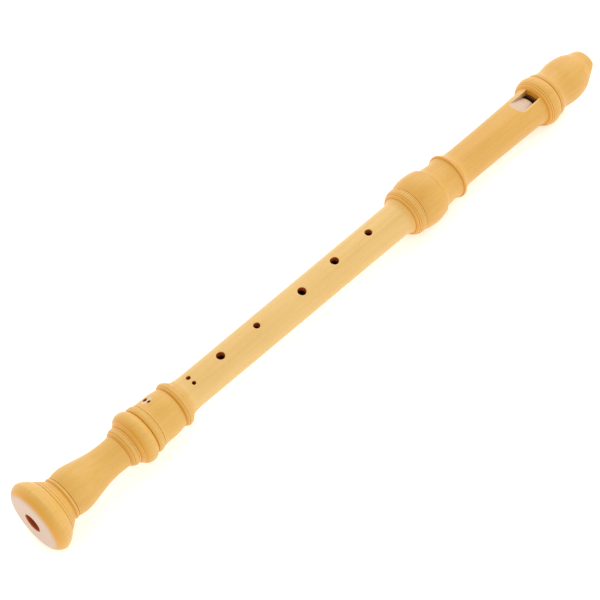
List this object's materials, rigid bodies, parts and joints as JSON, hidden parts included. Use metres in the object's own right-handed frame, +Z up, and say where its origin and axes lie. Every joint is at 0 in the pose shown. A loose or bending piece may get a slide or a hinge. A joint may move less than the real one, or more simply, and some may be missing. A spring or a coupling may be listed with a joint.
{
  "type": "recorder",
  "caption": "Wooden alto-size recorder (duct flute): head, middle and foot joints on cork-lapped tenons, turned rings, finger holes, window and beak with a cedar block.",
  "frame": {"origin": "on the floor, under the middle of the whole length; the pipe's axis is 23.4 mm above it", "axes": "+X along the pipe from the open end of the foot to the beak, +Z up through the finger holes, +Y the remaining way"},
  "size_m": [0.5, 0.0468, 0.0468],
  "materials": {
    "lacquered_wood": "satin honey-coloured lacquer",
    "cedar": "bare, fine straight grain",
    "cork": "bare sanded cork"
  },
  "bodies": {
    "middle": {"middle_joint": "lacquered_wood"},
    "upper_cork": {"upper_tenon_cork": "cork"},
    "head": {"head_joint": "lacquered_wood"},
    "block": {"windway_block": "cedar"},
    "lower_cork": {"lower_tenon_cork": "cork"},
    "foot": {"foot_joint": "lacquered_wood"}
  },
  "joints": [
    {"name": "head_twist", "type": "hinge", "parent": "middle", "child": "upper_cork", "pos_m": [0.0723, 0, 0.0234], "axis": [1, 0, 0], "continuous": true},
    {"name": "head_pull", "type": "slide", "parent": "upper_cork", "child": "head", "axis": [1, 0, 0], "range_m": [0, 0.045]},
    {"name": "block_push", "type": "slide", "parent": "head", "child": "block", "axis": [1, 0, 0], "range_m": [0, 0.065]},
    {"name": "foot_twist", "type": "hinge", "parent": "middle", "child": "lower_cork", "pos_m": [-0.142, 0, 0.0234], "axis": [1, 0, 0], "continuous": true},
    {"name": "foot_pull", "type": "slide", "parent": "lower_cork", "child": "foot", "axis": [-1, 0, 0], "range_m": [0, 0.035]}
  ]
}
